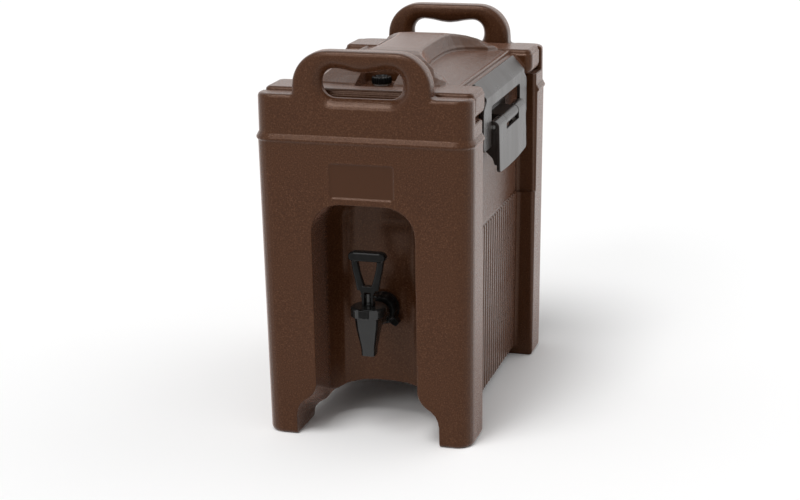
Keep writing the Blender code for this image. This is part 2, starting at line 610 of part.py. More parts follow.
def build_latch(side, label, wide, edge_top):
    px = pocket_x + pivot_out
    pz = lid_under - pivot_drop
    qx = px - link_in
    qz = pz - link_drop
    pivot = (side * px, 0.0, pz)
    link = (side * qx, 0.0, qz)
    plate_x = pocket_x + gap

    def flip(points):
        return [(side * x, z) for x, z in points]

    plate = rounded(knuckle_half + 30.0, 19.0, 6.0, 4, 0.0, pz - 7.0)
    bracket = prism("latch_bracket_" + label, plate, "x", side * plate_x, side * (plate_x + sheet), "nylon")
    arm = [(plate_x + 0.5, pz - 13.0), (px - 2.0, pz - knuckle_radius + 0.3)]
    for i in range(13):
        a = math.radians(-90.0 + 180.0 * i / 12)
        arm.append((px + (knuckle_radius - 0.3) * math.cos(a), pz + (knuckle_radius - 0.3) * math.sin(a)))
    arm += [(px - 2.0, pz + knuckle_radius - 0.3), (plate_x + 0.5, pz + 9.0)]
    join(bracket, prism("add_bracket_arm_" + label, flip(arm), "y", -knuckle_half, knuckle_half))
    bore = circle(px, pz, pivot_pin_radius + gap)
    cut(bracket, prism("cut_bracket_bore_" + label, flip(bore), "y", -knuckle_half - 5.0, knuckle_half + 5.0))
    for end in (-1, 1):
        hole = circle(end * screw_y(), screw_z(), 2.4 + gap, 12)
        tool = prism("cut_bracket_hole_%s_%d" % (label, end), hole, "x",
                     side * (plate_x - 2.0), side * (plate_x + sheet + 2.0))
        cut(bracket, tool)
        face = plate_x + sheet + gap
        shape = [(1.2, plate_x - 14.5), (2.4, plate_x - 12.0), (2.4, face), (4.6, face), (4.6, face + 0.8),
                 (3.2, face + 2.2)]
        name = "bracket_screw_%s_%s" % (label, "front" if end < 0 else "rear")
        turned(name, [(r, side * t) for r, t in shape], "x", end * screw_y(), screw_z(), 12, "steel",
               (side * face, end * screw_y(), screw_z()))
    pin = [(pivot_pin_radius - 0.5, -paddle_half + 1.0), (pivot_pin_radius, -paddle_half + 1.6),
           (pivot_pin_radius, paddle_half - 1.6), (pivot_pin_radius - 0.5, paddle_half - 1.0)]
    turned("lever_pin_" + label, pin, "y", side * px, pz, 12, "steel", pivot)

    out = px + knuckle_radius
    foot = pz - paddle_long
    face = [(paddle_half, pz - 1.0), (paddle_half, foot + 3.0)]
    for i in range(6):
        share = (1.0 - i / 5.0) * (1.0 - 3.0 / paddle_half)
        face.append((share * paddle_half, foot - paddle_sag * (1.0 - share * share)))
    face += [(-y, z) for y, z in reversed(face[:-1])]
    rings = []
    for back in (sheet, 0.0):
        ring = []
        for y, z in face:
            lean = paddle_lean * (pz - z) / paddle_long
            ring.append((side * (out + lean - back), y, z))
        rings.append(ring)
    lever = loft("latch_lever_" + label, rings, "nylon", pivot)
    barrel = circle(px, pz, knuckle_radius)
    join(lever, prism("add_barrel_" + label, flip(barrel), "y", -paddle_half, paddle_half))
    web = [(out - 2.0, pz - 2.0), (out - 1.5, pz - 46.0), (out - 6.0, pz - 46.0), (out - 8.5, pz - 38.0),
           (qx - 6.5, qz - 8.0), (qx - 6.5, qz + 4.0), (px - 6.0, pz - 3.0)]
    for end, word in ((-1, "front"), (1, "rear")):
        lo = end * (paddle_half - 5.0)
        hi = end * (paddle_half - 0.4)
        join(lever, prism("add_web_%s_%s" % (label, word), flip(web), "y", lo, hi))
        hole = circle(qx, qz, pivot_pin_radius + gap, 16)
        name = "cut_web_hole_%s_%s" % (label, word)
        cut(lever, prism(name, flip(hole), "y", end * (paddle_half - 9.0), end * (paddle_half + 3.0)))
        pin_in = paddle_half - 6.5
        pin_out = paddle_half + 14.5
        shape = [(pivot_pin_radius - 0.5, end * pin_in), (pivot_pin_radius, end * (pin_in + 0.5)),
                 (pivot_pin_radius, end * (pin_out - 0.5)), (pivot_pin_radius - 0.5, end * pin_out)]
        turned("bail_pin_%s_%s" % (label, word), shape, "y", side * qx, qz, 12, "steel", (side * qx, 0.0, qz))
    slot_w = knuckle_half + knuckle_gap
    x_pair = sorted((side * (px - 12.0), side * (out + 6.0)))
    low_end = (x_pair[0], -slot_w, pz - 9.7)
    high_end = (x_pair[1], slot_w, pz + 12.0)
    cut(lever, box("cut_knuckle_slot_" + label, low_end, high_end))
    bore = circle(px, pz, pivot_pin_radius + gap)
    cut(lever, prism("cut_lever_bore_" + label, flip(bore), "y", -paddle_half - 5.0, paddle_half + 5.0))

    slope = math.radians(lip_slope)
    nx = math.sin(slope)
    nz = math.cos(slope)
    out_x = wide + gap + 1.3 + sheet
    in_x = out_x - sheet
    tip_in = (wide - lip_reach + nx * gap, edge_top + nz * gap)
    tip_out = (tip_in[0] + nx * sheet, tip_in[1] + nz * sheet)
    tan = math.tan(slope)
    fold_in = tip_in[1] - (in_x - tip_in[0]) * tan
    fold_out = tip_out[1] - (out_x - tip_out[0]) * tan
    plate_low = pz + window_rise
    foot = qz - boss_radius + 2.0
    lip_half = latch_half - lip_setback
    hoop = [(leg_in - 5.0, plate_low), (leg_in - 1.5, plate_low - 1.5), (leg_in, plate_low - 5.0), (leg_in, foot),
            (latch_half - 5.0, foot), (latch_half, foot + 6.0), (latch_half, plate_low - 3.0),
            (latch_half - 2.0, plate_low + 2.0), (lip_half, fold_in - 3.0), (lip_half, fold_in - 0.6)]
    hoop = [(-y, z) for y, z in reversed(hoop)] + hoop
    bail = prism("latch_bail_" + label, hoop, "x", side * in_x, side * out_x, "nylon", link)
    lip = [(in_x, fold_in - 6.0), (out_x, fold_in - 6.0), (out_x, fold_out - 1.0),
           (out_x - 1.0, fold_out + 0.6), tip_out, (tip_in[0] + 0.6, tip_in[1] + 1.8), tip_in, (in_x, fold_in)]
    join(bail, prism("add_lip_" + label, flip(lip), "y", -lip_half, lip_half))
    boss = circle(qx, qz, boss_radius, 20)
    for end, word in ((-1, "front"), (1, "rear")):
        name = "add_boss_%s_%s" % (label, word)
        join(bail, prism(name, flip(boss), "y", end * leg_in, end * (paddle_half + 24.0)))
        hole = circle(qx, qz, pivot_pin_radius + gap, 16)
        name = "cut_bail_hole_%s_%s" % (label, word)
        cut(bail, prism(name, flip(hole), "y", end * (leg_in - 4.0), end * (paddle_half + 16.0)))


def build_spigot():
    rings = []
    spout_levels = ((spout_tip, spout_tip_radius), (spout_tip + 9.0, spout_tip_radius + 0.4),
                    (spout_top - 16.0, spout_top_radius - 2.0), (spout_top, spout_top_radius))
    for z, r in spout_levels:
        ring = []
        for i in range(4):
            for turn in (-0.60, 0.60, 0.25 * math.pi):
                a = 0.5 * math.pi * (i - 1) + turn
                ring.append((r * math.cos(a), spout_y + r * math.sin(a), z))
        rings.append(ring)
    spout = loft("spigot_body", rings, "gloss", (0.0, spout_y, shank_height))
    shoulder = niche_back_y - nut_long - 6.0
    arm = [(shank_radius + 1.0, spout_y + 2.0), (shank_radius + 1.0, spout_y + 18.0),
           (shank_radius + 3.0, spout_y + 26.0), (shank_radius + 3.0, shoulder)]
    join(spout, turned("add_spout_arm", arm, "y", 0.0, shank_height))
    seat = shank_height - 12.0
    seat_round = bonnet_radius + run
    trim = [(seat_round, spout_top), (seat_round, spout_top + 20.0)]
    cut(spout, turned("cut_bonnet_seat", trim, "z", 0.0, spout_y, 24))
    bore = [(6.2, spout_tip - 2.0), (6.6, seat - 4.0), (10.4, seat + 2.0), (11.6, spout_top + 2.0)]
    cut(spout, turned("cut_spout_bore", bore, "z", 0.0, spout_y, 20))
    bore = [(shank_bore, spout_y + 4.0), (shank_bore, shoulder - 16.0)]
    cut(spout, turned("cut_arm_bore", bore, "y", 0.0, shank_height))
    socket = shank_radius - 2.0 + gap
    bore = [(socket, shoulder - 18.0), (socket, shoulder + 2.0)]
    cut(spout, turned("cut_arm_socket", bore, "y", 0.0, shank_height))

    low = spout_top + gap
    top = low + bonnet_height
    shape = [(bonnet_radius - 1.0, low), (bonnet_radius, low + 1.0), (bonnet_radius, top - 2.5),
             (bonnet_radius - 1.2, top - 0.8), (bonnet_radius - 3.5, top)]
    bonnet = turned("spigot_bonnet", shape, "z", 0.0, spout_y, 24, "gloss", (0.0, spout_y, low))
    neck = [(10.8, low - 2.4), (10.8, low + 1.0)]
    join(bonnet, turned("add_bonnet_neck", neck, "z", 0.0, spout_y, 24))
    bore = [(stem_radius + run, low - 8.0), (stem_radius + run, top + 2.0)]
    cut(bonnet, turned("cut_bonnet_bore", bore, "z", 0.0, spout_y))
    proud = spout_y - bonnet_radius - 0.4
    tongue = [(tongue_half, top - 0.8), (tongue_half, low + 5.0), (tongue_half - 2.0, low + 2.4)]
    tongue += [(-x, z) for x, z in reversed(tongue)]
    join(bonnet, prism("add_stop_tongue", tongue, "y", proud, spout_y - 16.0))
    cut(bonnet, turned("cut_bonnet_dish", [(9.0, low - 8.0), (9.0, low + 4.0)], "z", 0.0, spout_y))

    pin_z = top + handle_pin_rise
    rod = [(stem_radius - 0.8, seat + 1.0), (stem_radius, seat + 1.8), (stem_radius, top + 2.0),
           (stem_radius - 0.3, top + 2.6), (stem_radius - 0.3, pin_z + 3.6), (stem_radius - 1.0, pin_z + 4.2)]
    stem = turned("valve_stem", rod, "z", 0.0, spout_y, 20, "gloss", (0.0, spout_y, pin_z))
    cut(stem, turned("cut_stem_hole", [(1.5 + gap, -12.0), (1.5 + gap, 12.0)], "x", spout_y, pin_z, 16))
    cup = [(stem_radius + gap, seat + 14.0), (8.6, seat + 14.0), (9.2, seat + 8.0), (9.2, seat + 2.9),
           (6.9, seat - 2.0), (2.0, seat - 3.2), (2.0, seat + 0.5), (stem_radius + gap, seat + 0.6)]
    turned("seat_cup", cup, "z", 0.0, spout_y, 20, "rubber", (0.0, spout_y, seat), True)

    turned("handle_pin", [(1.2, -9.4), (1.5, -9.0), (1.5, 9.0), (1.2, 9.4)], "x", spout_y, pin_z, 16, "steel",
           (0.0, spout_y, pin_z))
    build_handle(top, pin_z)

    wall = niche_back_y
    washer = wall - gap
    ring = [(shank_radius + gap, washer - 2.4), (nut_radius - 2.0, washer - 2.4), (nut_radius - 2.0, washer),
            (shank_radius + gap, washer)]
    turned("outer_washer", ring, "y", 0.0, shank_height, 24, "rubber", (0.0, washer, shank_height), True)
    build_nut(washer - 2.4 - gap)

    inner = tank_front_y + gap
    ring = [(shank_radius + gap, inner), (18.0, inner), (18.0, inner + 2.2), (shank_radius + gap, inner + 2.2)]
    turned("inner_washer", ring, "y", 0.0, shank_height, 24, "rubber", (0.0, inner, shank_height), True)
    flange = inner + 2.2 + gap
    tube = [(shank_radius - 2.0, shoulder - 15.0), (shank_radius - 2.0, shoulder + gap),
            (shank_radius, shoulder + gap), (shank_radius, flange), (17.0, flange), (17.0, flange + 3.0),
            (15.5, flange + 4.5), (shank_bore + 1.0, flange + 4.5), (shank_bore, flange + 3.5),
            (shank_bore, shoulder - 15.0)]
    turned("shank", tube, "y", 0.0, shank_height, 24, "gloss", (0.0, shoulder, shank_height), True)


def build_handle(top, pin_z):
    """Loop handle: fork over the stem, two curved legs and a grip bar."""
    fork_low = top + run
    fork_top = pin_z + 13.0
    fork = [(-7.0, fork_low), (7.0, fork_low), (7.4, pin_z + 4.0), (11.5, fork_top), (-11.5, fork_top),
            (-7.4, pin_z + 4.0)]
    handle = prism("spigot_handle", fork, "y", spout_y - 4.6, spout_y + 4.6, "gloss", (0.0, spout_y, pin_z))
    bar_z = pin_z + pull_height
    path = [(7.5, fork_top - 5.0, 5.4), (9.5, fork_top + 1.0, 4.6), (10.9, fork_top + 6.5, 4.3),
            (13.6, fork_top + 17.0, 4.0), (15.4, fork_top + 27.0, 3.9), (16.4, bar_z + 1.0, 3.9)]
    section = [(-1.0, -3.4), (-0.4, -4.6), (0.4, -4.6), (1.0, -3.4)]
    section = section + [(-u, -v) for u, v in section]
    for side, word in ((-1, "left"), (1, "right")):
        rings = []
        for x, z, half in path:
            rings.append([(side * (x + u * half), spout_y + v, z) for u, v in section])
        join(handle, loft("add_handle_leg_" + word, rings))
    rings = []
    for y, inset in ((-7.5, 2.2), (-6.2, 0.6), (-3.5, 0.0), (3.5, 0.0), (5.4, 1.0), (6.4, 2.6)):
        bar = [(19.5 - inset, bar_z - 5.4 + inset), (22.6 - inset, bar_z - 2.5), (23.0 - inset, bar_z + 1.5),
               (21.0 - inset, bar_z + 5.0 - inset), (16.0, bar_z + 6.4 - inset)]
        rings.append([(x, spout_y + y, z) for x, z in bar] + [(-x, spout_y + y, z) for x, z in reversed(bar)])
    join(handle, loft("add_handle_bar", rings))
    slot_x = stem_radius + run
    cut(handle, box("cut_fork_gap", (-slot_x, spout_y - 9.0, fork_low - 3.0), (slot_x, spout_y + 9.0, pin_z + 5.8)))
    cut(handle, turned("cut_handle_hole", [(1.5 + gap, -12.0), (1.5 + gap, 12.0)], "x", spout_y, pin_z, 16))


def build_nut(back):
    rings = []
    nut_levels = ((back - nut_long, 0.80), (back - nut_long + 2.0, 0.9), (back - 6.0, 0.97), (back - 4.0, 1.0),
                  (back, 1.0))
    for y, scale in nut_levels:
        ring = []
        for i in range(48):
            a = 2.0 * math.pi * i / 48
            r = nut_radius * scale - (0.9 if i % 4 in (2, 3) and y < back - 5.0 else 0.0)
            ring.append((r * math.cos(a), y, shank_height + r * math.sin(a)))
        rings.append(ring)
    nut = loft("wing_nut", rings, "gloss", (0.0, back, shank_height))
    for i, turn in enumerate((-42.0, 138.0)):
        a = math.radians(turn)
        wing = []
        for r, w in ((-5.0, 5.0), (3.0, 4.2), (6.5, 3.0), (6.5, -3.0), (3.0, -4.2), (-5.0, -5.0)):
            r += nut_radius
            wing.append((r * math.cos(a) - w * math.sin(a), shank_height + r * math.sin(a) + w * math.cos(a)))
        join(nut, prism("add_wing_%d" % i, wing, "y", back - nut_long + 3.0, back - 2.0))
    bore = [(shank_radius + gap, back - nut_long - 3.0), (shank_radius + gap, back + 3.0)]
    cut(nut, turned("cut_nut_bore", bore, "y", 0.0, shank_height, 24))


clear_scene()
neck_front = build_body()
lid_wide, lid_edge = build_lid(neck_front)
for latch_side, latch_label in ((-1, "left"), (1, "right")):
    build_latch(latch_side, latch_label, lid_wide, lid_edge)
build_spigot()
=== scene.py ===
"""Looks for the insulated beverage dispenser: moulded shells, nylon latches, spigot and studio."""
import json
import math

import bmesh
import bpy
from mathutils import Matrix, Quaternion, Vector

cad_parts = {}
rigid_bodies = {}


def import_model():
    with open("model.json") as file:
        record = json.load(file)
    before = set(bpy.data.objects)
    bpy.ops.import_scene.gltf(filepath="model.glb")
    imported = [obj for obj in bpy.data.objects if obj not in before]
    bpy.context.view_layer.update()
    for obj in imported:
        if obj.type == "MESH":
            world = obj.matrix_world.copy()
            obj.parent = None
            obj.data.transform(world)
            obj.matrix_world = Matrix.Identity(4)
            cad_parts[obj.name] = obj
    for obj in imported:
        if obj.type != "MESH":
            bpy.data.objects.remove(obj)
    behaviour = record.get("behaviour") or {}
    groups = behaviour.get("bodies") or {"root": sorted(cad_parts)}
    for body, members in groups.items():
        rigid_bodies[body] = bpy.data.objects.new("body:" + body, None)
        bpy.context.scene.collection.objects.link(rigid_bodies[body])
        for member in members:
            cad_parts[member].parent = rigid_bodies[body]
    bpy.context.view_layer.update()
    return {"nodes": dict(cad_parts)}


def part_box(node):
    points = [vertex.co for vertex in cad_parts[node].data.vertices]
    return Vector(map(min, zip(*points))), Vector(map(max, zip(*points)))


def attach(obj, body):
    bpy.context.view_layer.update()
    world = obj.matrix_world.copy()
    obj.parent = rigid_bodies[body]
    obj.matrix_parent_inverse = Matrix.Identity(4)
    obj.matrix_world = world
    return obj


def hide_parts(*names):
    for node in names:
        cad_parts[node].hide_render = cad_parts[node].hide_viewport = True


for leftover in list(bpy.data.objects):
    bpy.data.objects.remove(leftover, do_unlink=True)

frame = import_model()

SIDES = (("left", -1.0), ("right", 1.0))

# Fine places on the body, in metres, and the share of the relaxing that each one gets.
PANEL_SET_IN = 0.027        # ribbed side panel, inside the body's widest place
PANEL_IN = 0.008
PANEL_OUT = 0.006
RIB_TOP = 0.232
RIB_REACH = 0.138
RIB_SHARE = 0.35
LABEL_FRONT = -0.200
LABEL_HALF = 0.046
LABEL_LOW = 0.291
LABEL_HIGH = 0.346
LABEL_SHARE = 0.30
BEAD_Z = 0.366
BEAD_NEAR = 0.008
BEAD_SHARE = 0.60

# Places on the body that are rounded further: the niche's back corners and the two handle loops.
NICHE_HALF = 0.0627
NICHE_NEAR = 0.0635
NICHE_MOUTH = -0.200
NICHE_BACK = -0.118
NICHE_LOW = 0.118
NICHE_HIGH = 0.285
NICHE_FADE = 0.012
NICHE_TOP_FADE = 0.02
SHANK_CLEAR = 0.026
SHANK_FADE = 0.008
LOOP_HALF = 0.090
LOOP_INNER = 0.168
LOOP_FOOT = 0.408           # where a handle loop leaves the wall
LOOP_FADE = 0.014
GRIP_PASSES = 36            # relaxing that turns a square bar round

# Hand slots: the outline at its narrowest, and the rounded ring sunk round it.
SLOT_HALF = 0.048
SLOT_LOW = 0.414
SLOT_HIGH = 0.4475
SLOT_CORNER = 0.015
SLOT_SAG = 0.005
FLARE_WIDTH = 0.0125
FLARE_DEPTH = 0.0110
FLARE_ROUND = 1.6
FLARE_LOW = 0.398
FLARE_HALF = 0.066
FLARE_INNER = 0.180
HANDLES_ONLY = 0.440        # above this height the body is nothing but its handles

# Fork of the spigot's loop handle, which keeps its faces.
FORK_TOP = 0.188
FORK_FADE = 0.006
FORK_SHARE = 0.08

# Studio: a floor just under the feet, the sky that lights, the sky that is seen, and the photo's viewpoint.
FLOOR_Z = -0.0003
FLOOR_RINGS = (1.2, 9.0)
SKY_ON_THINGS = 0.51
SKY_SEEN = 1.0
CAMERA_STAND = Vector((0.58636, -2.05071, 0.78918))
CAMERA_AIM = Vector((-0.01626, 0.0, 0.17897))
CAMERA_ROLL = -0.8514       # degrees
CAMERA_LENS = 78.104        # mm, on a sensor 36 mm wide

# Soft edges of places with a finish of their own: axis, middle to measure from or None, start and end of the
# edge, value before it and after it.
LABEL_EDGES = (
    ("X", 0.0, 0.0378, 0.0390, 1.0, 0.0),
    ("Z", 0.3184, 0.0198, 0.0212, 1.0, 0.0),
    ("Y", None, -0.2075, -0.2060, 1.0, 0.0))
NICHE_EDGES = (
    ("X", 0.0, NICHE_HALF + 0.001, NICHE_HALF + 0.004, 1.0, 0.0),
    ("Z", None, 0.2915, 0.2945, 1.0, 0.0),
    ("Y", None, -0.2085, -0.2050, 0.0, 1.0),
    ("Y", None, -0.110, -0.100, 1.0, 0.0))
RIB_EDGES = (
    ("X", 0.0, 0.096, 0.100, 0.0, 1.0),
    ("X", 0.0, 0.108, 0.112, 1.0, 0.0),
    ("Y", 0.0, 0.136, 0.139, 1.0, 0.0),
    ("Z", None, 0.231, 0.234, 1.0, 0.0))


# Finishes

def finish_nodes(name):
    mat = bpy.data.materials.new(name)
    mat.use_nodes = True
    tree = mat.node_tree
    return mat, tree, tree.nodes["Principled BSDF"]


def link(tree, source, target):
    tree.links.new(source, target)


def noise(tree, where, scale, detail=2.0, rough=0.5):
    node = tree.nodes.new("ShaderNodeTexNoise")
    node.inputs["Scale"].default_value = scale
    node.inputs["Detail"].default_value = detail
    node.inputs["Roughness"].default_value = rough
    link(tree, where, node.inputs["Vector"])
    return node.outputs["Fac"]


def blend_ramp(tree, value, stops):
    node = tree.nodes.new("ShaderNodeValToRGB")
    ramp = node.color_ramp
    while len(ramp.elements) < len(stops):
        ramp.elements.new(0.5)
    for element, (place, rgb) in zip(ramp.elements, stops):
        element.position = place
        element.color = (rgb[0], rgb[1], rgb[2], 1.0)
    link(tree, value, node.inputs["Fac"])
    return node.outputs["Color"]


def remap(tree, value, low, high, out_low, out_high):
    node = tree.nodes.new("ShaderNodeMapRange")
    node.inputs["From Min"].default_value = low
    node.inputs["From Max"].default_value = high
    node.inputs["To Min"].default_value = out_low
    node.inputs["To Max"].default_value = out_high
    link(tree, value, node.inputs["Value"])
    return node.outputs["Result"]


def bump(tree, height, strength, distance, under=None):
    """Raise a surface by a height; strength is one number, or a value that changes over the surface."""
    node = tree.nodes.new("ShaderNodeBump")
    if isinstance(strength, float):
        node.inputs["Strength"].default_value = strength
    else:
        link(tree, strength, node.inputs["Strength"])
    node.inputs["Distance"].default_value = distance
    link(tree, height, node.inputs["Height"])
    if under is not None:
        link(tree, under, node.inputs["Normal"])
    return node.outputs["Normal"]


def object_coords(tree):
    return tree.nodes.new("ShaderNodeTexCoord").outputs["Object"]


def arithmetic(tree, operation, first, second):
    node = tree.nodes.new("ShaderNodeMath")
    node.operation = operation
    for socket, value in zip(node.inputs, (first, second)):
        if isinstance(value, float):
            socket.default_value = value
        else:
            link(tree, value, socket)
    return node.outputs["Value"]


def tinted(tree, colour, shade):
    node = tree.nodes.new("ShaderNodeMix")
    node.data_type = "RGBA"
    node.blend_type = "MULTIPLY"
    node.inputs["Factor"].default_value = 1.0
    link(tree, colour, node.inputs[6])
    link(tree, shade, node.inputs[7])
    return node.outputs[2]


def stretched(tree, where, scale):
    node = tree.nodes.new("ShaderNodeMapping")
    node.inputs["Scale"].default_value = scale
    link(tree, where, node.inputs["Vector"])
    return node.outputs["Vector"]


def cover(tree, where, edges):
    """One inside the place that the soft edges bound, nothing outside it."""
    node = tree.nodes.new("ShaderNodeSeparateXYZ")
    link(tree, where, node.inputs["Vector"])
    whole = None
    for axis, middle, start, end, before, after in edges:
        value = node.outputs[axis]
        if middle is not None:
            value = arithmetic(tree, "ABSOLUTE", arithmetic(tree, "SUBTRACT", value, middle), 0.0)
        edge = remap(tree, value, start, end, before, after)
        whole = edge if whole is None else arithmetic(tree, "MULTIPLY", whole, edge)
    return whole


def brown_shell_finish():
    """Moulded polyethylene: resin specks, whose lightest ones are painted glints, orange peel and a pebble
    grain.

    The label recess and the niche are smooth, and the ribs nearly so.
    """
    mat, tree, shader = finish_nodes("brown_moulded_shell")
    where = object_coords(tree)
    grained = arithmetic(tree, "SUBTRACT", 1.0, cover(tree, where, LABEL_EDGES))
    niche = cover(tree, where, NICHE_EDGES)
    ribs = remap(tree, cover(tree, where, RIB_EDGES), 0.0, 1.0, 1.0, 0.15)
    pebbled = arithmetic(tree, "MULTIPLY", arithmetic(tree, "MULTIPLY", grained, ribs),
                         remap(tree, niche, 0.0, 1.0, 0.40, 0.0))
    speckle_and_glints = arithmetic(tree, "SUBTRACT", noise(tree, where, 620.0, 2.0, 0.6), 0.5)
    speckle_and_glints = arithmetic(tree, "ADD", arithmetic(tree, "MULTIPLY", speckle_and_glints, grained),
                         remap(tree, grained, 0.0, 1.0, 0.42, 0.5))
    cloud = noise(tree, where, 11.0, 3.0, 0.55)
    # The lightest colour stop is painted glints: specks brighter than the resin stand in for light caught on
    # the pebble grain.
    colour = blend_ramp(tree, speckle_and_glints, [(0.32, (0.037, 0.0120, 0.0042)), (0.50, (0.0500, 0.0178, 0.0066)),
                                        (0.61, (0.061, 0.0230, 0.0095)), (0.71, (0.092, 0.0400, 0.0195))])
    shade = blend_ramp(tree, cloud, [(0.30, (0.92, 0.91, 0.90)), (0.70, (1.0, 1.0, 1.0))])
    link(tree, tinted(tree, colour, shade), shader.inputs["Base Color"])
    link(tree, remap(tree, speckle_and_glints, 0.3, 0.7, 0.19, 0.27), shader.inputs["Roughness"])
    shader.inputs["Specular IOR Level"].default_value = 0.68
    shader.inputs["Specular Tint"].default_value = (0.47, 0.33, 0.265, 1.0)
    shader.inputs["Sheen Weight"].default_value = 0.42
    shader.inputs["Sheen Roughness"].default_value = 0.30
    shader.inputs["Sheen Tint"].default_value = (1.0, 0.58, 0.44, 1.0)
    peel = noise(tree, where, 210.0, 1.0, 0.5)
    pebble = noise(tree, where, 520.0, 2.0, 0.6)
    under = bump(tree, peel, remap(tree, niche, 0.0, 1.0, 0.12, 0.0), 0.0012)
    link(tree, bump(tree, pebble, pebbled, 0.0007, under), shader.inputs["Normal"])
    return mat


def black_nylon_finish():
    """Glass-filled nylon of the latches: black, with broad flow streaks and a satin sheen down each plate."""
    mat, tree, shader = finish_nodes("black_nylon_latch")
    where = object_coords(tree)
    streak = noise(tree, stretched(tree, where, (1.0, 1.0, 0.22)), 34.0, 2.0, 0.5)
    scuff = noise(tree, stretched(tree, where, (1.0, 1.0, 0.45)), 300.0, 3.0, 0.6)
    colour = blend_ramp(tree, streak, [(0.30, (0.0170, 0.0128, 0.0108)), (0.70, (0.0310, 0.0235, 0.0205))])
    wear = blend_ramp(tree, scuff, [(0.40, (0.90, 0.90, 0.90)), (0.75, (1.0, 1.0, 1.0))])
    link(tree, tinted(tree, colour, wear), shader.inputs["Base Color"])
    link(tree, remap(tree, streak, 0.3, 0.7, 0.26, 0.33), shader.inputs["Roughness"])
    shader.inputs["Specular IOR Level"].default_value = 0.72
    shader.inputs["Specular Tint"].default_value = (0.55, 0.53, 0.52, 1.0)
    sink = noise(tree, stretched(tree, where, (1.0, 1.0, 0.35)), 30.0, 1.0, 0.5)
    grain = noise(tree, where, 1300.0, 2.0, 0.5)
    under = bump(tree, sink, 0.35, 0.0018)
    link(tree, bump(tree, grain, 0.12, 0.0002, under), shader.inputs["Normal"])
    return mat


def black_gloss_finish(name, mirror, polish):
    """Polished polypropylene; mirror is the share of light that a face turned to the eye throws back."""
    mat, tree, shader = finish_nodes(name)
    where = object_coords(tree)
    haze = noise(tree, where, 120.0, 3.0, 0.6)
    link(tree, blend_ramp(tree, haze, [(0.3, (0.0055, 0.0053, 0.0050)), (0.7, (0.0095, 0.0092, 0.0088))]),
         shader.inputs["Base Color"])
    link(tree, remap(tree, haze, 0.3, 0.7, polish, polish + 0.08), shader.inputs["Roughness"])
    shader.inputs["Specular IOR Level"].default_value = 0.5
    shader.inputs["Specular Tint"].default_value = (mirror, mirror, mirror, 1.0)
    ripple = noise(tree, where, 90.0, 1.0, 0.5)
    link(tree, bump(tree, ripple, 0.05, 0.0006), shader.inputs["Normal"])
    return mat


def silicone_finish():
    mat, tree, shader = finish_nodes("pale_silicone_seal")
    where = object_coords(tree)
    bloom = noise(tree, where, 240.0, 3.0, 0.6)
    link(tree, blend_ramp(tree, bloom, [(0.3, (0.50, 0.485, 0.45)), (0.7, (0.60, 0.585, 0.55))]),
         shader.inputs["Base Color"])
    link(tree, remap(tree, bloom, 0.3, 0.7, 0.55, 0.7), shader.inputs["Roughness"])
    shader.inputs["Subsurface Weight"].default_value = 0.1
    shader.inputs["Subsurface Scale"].default_value = 0.002
    link(tree, bump(tree, bloom, 0.08, 0.0003), shader.inputs["Normal"])
    return mat


def steel_finish(name, low, high):
    mat, tree, shader = finish_nodes(name)
    where = object_coords(tree)
    line = noise(tree, stretched(tree, where, (4.0, 0.3, 4.0)), 700.0, 2.0, 0.6)
    link(tree, blend_ramp(tree, line, [(0.3, (low, low, low * 0.98)), (0.7, (high, high, high * 0.97))]),
         shader.inputs["Base Color"])
    link(tree, remap(tree, line, 0.3, 0.7, 0.22, 0.38), shader.inputs["Roughness"])
    shader.inputs["Metallic"].default_value = 1.0
    link(tree, bump(tree, line, 0.05, 0.0001), shader.inputs["Normal"])
    return mat


SHELL = brown_shell_finish()
NYLON = black_nylon_finish()
GLOSS = black_gloss_finish("black_gloss_spigot", 0.95, 0.08)
# Painted shade: the spout's black gloss with its reflection cut from 0.95 to 0.17, so the pull loop, vent
# knob and ridges, shank nut and bonnet tongue render darker.
GLOSS_PAINTED_SHADE = black_gloss_finish("black_gloss_painted_shade", 0.17, 0.08)
SILICONE = silicone_finish()
STEEL = steel_finish("brushed_steel_pin", 0.50, 0.64)
DARK_STEEL = steel_finish("blackened_steel_pin", 0.03, 0.05)


# Mesh helpers

def place(name, mesh, mat=None):
    obj = bpy.data.objects.new(name, mesh)
    bpy.context.scene.collection.objects.link(obj)
    if mat is not None:
        mesh.materials.clear()
        mesh.materials.append(mat)
    return obj


def closed_copy(node):
    """A merged copy of a CAD node's mesh."""
    mesh = frame["nodes"][node].data.copy()
    bm = bmesh.new()
    bm.from_mesh(mesh)
    bmesh.ops.remove_doubles(bm, verts=bm.verts[:], dist=1e-6)
    bm.to_mesh(mesh)
    bm.free()
    return mesh


def baked(obj):
    """The object's mesh with its modifiers worked in; the object itself goes away."""
    graph = bpy.context.evaluated_depsgraph_get()
    mesh = bpy.data.meshes.new_from_object(obj.evaluated_get(graph))
    bpy.data.objects.remove(obj, do_unlink=True)
    return mesh


def share_group(work, name, share_of):
    """A vertex group that holds the share that each point gets."""
    group = work.vertex_groups.new(name=name)
    shares = {}
    for vert in work.data.vertices:
        shares.setdefault(share_of(vert.co), []).append(vert.index)
    for share, indices in shares.items():
        group.add(indices, share, "REPLACE")
    return group.name


